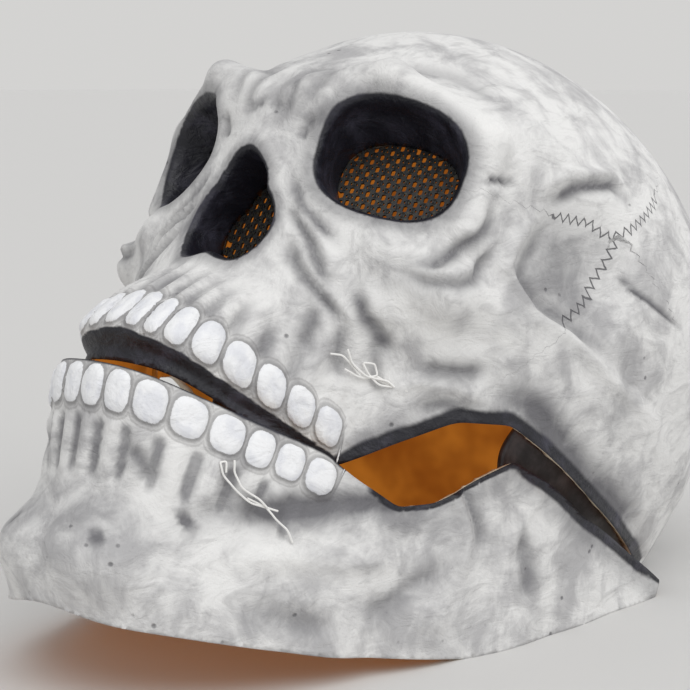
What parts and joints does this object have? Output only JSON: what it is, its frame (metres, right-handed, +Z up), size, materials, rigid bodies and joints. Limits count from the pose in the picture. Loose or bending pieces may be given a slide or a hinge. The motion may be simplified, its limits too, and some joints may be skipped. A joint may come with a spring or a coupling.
{
  "type": "latex skull mask",
  "caption": "Full-head latex skull mask with a swinging lower jaw, net-backed eye and nose openings, lying on its open neck with the face turned up.",
  "frame": {"origin": "middle of the overall box at the level of the table that the mask lies on", "axes": "+Z up from the table, +X towards the wearer's left, -Y towards the face, which is turned up by 29 degrees; +Y is the longest extent"},
  "size_m": [0.173, 0.3098, 0.1887],
  "materials": {
    "painted_latex": "matt paint, airbrushed grey over off-white",
    "soft_latex": "matt, dark painted",
    "net": "fine black net",
    "latex_cement": "amber, glossy",
    "elastic": "woven elastic",
    "thread": "spun sewing thread"
  },
  "bodies": {
    "skull": {"skull_shell": "painted_latex", "left_hinge_web": "soft_latex", "right_hinge_web": "soft_latex", "left_eye_mesh": "net", "right_eye_mesh": "net", "nose_mesh": "net", "left_eye_mesh_bond": "latex_cement", "right_eye_mesh_bond": "latex_cement", "nose_mesh_bond": "latex_cement", "left_jaw_elastic": "elastic", "right_jaw_elastic": "elastic", "left_cheek_stitch": "thread", "right_cheek_stitch": "thread"},
    "jaw": {"jaw_shell": "painted_latex", "left_jaw_stitch": "thread", "right_jaw_stitch": "thread"}
  },
  "joints": [
    {"name": "jaw_hinge", "type": "hinge", "parent": "skull", "child": "jaw", "pos_m": [0, 0.05438, 0.01253], "axis": [1, 0, 0], "range_deg": [0, 12], "stiffness_Nm_per_rad": 0.6, "springref_deg": -14.32, "deforming": ["left_hinge_web", "right_hinge_web", "left_jaw_elastic", "right_jaw_elastic"]}
  ]
}
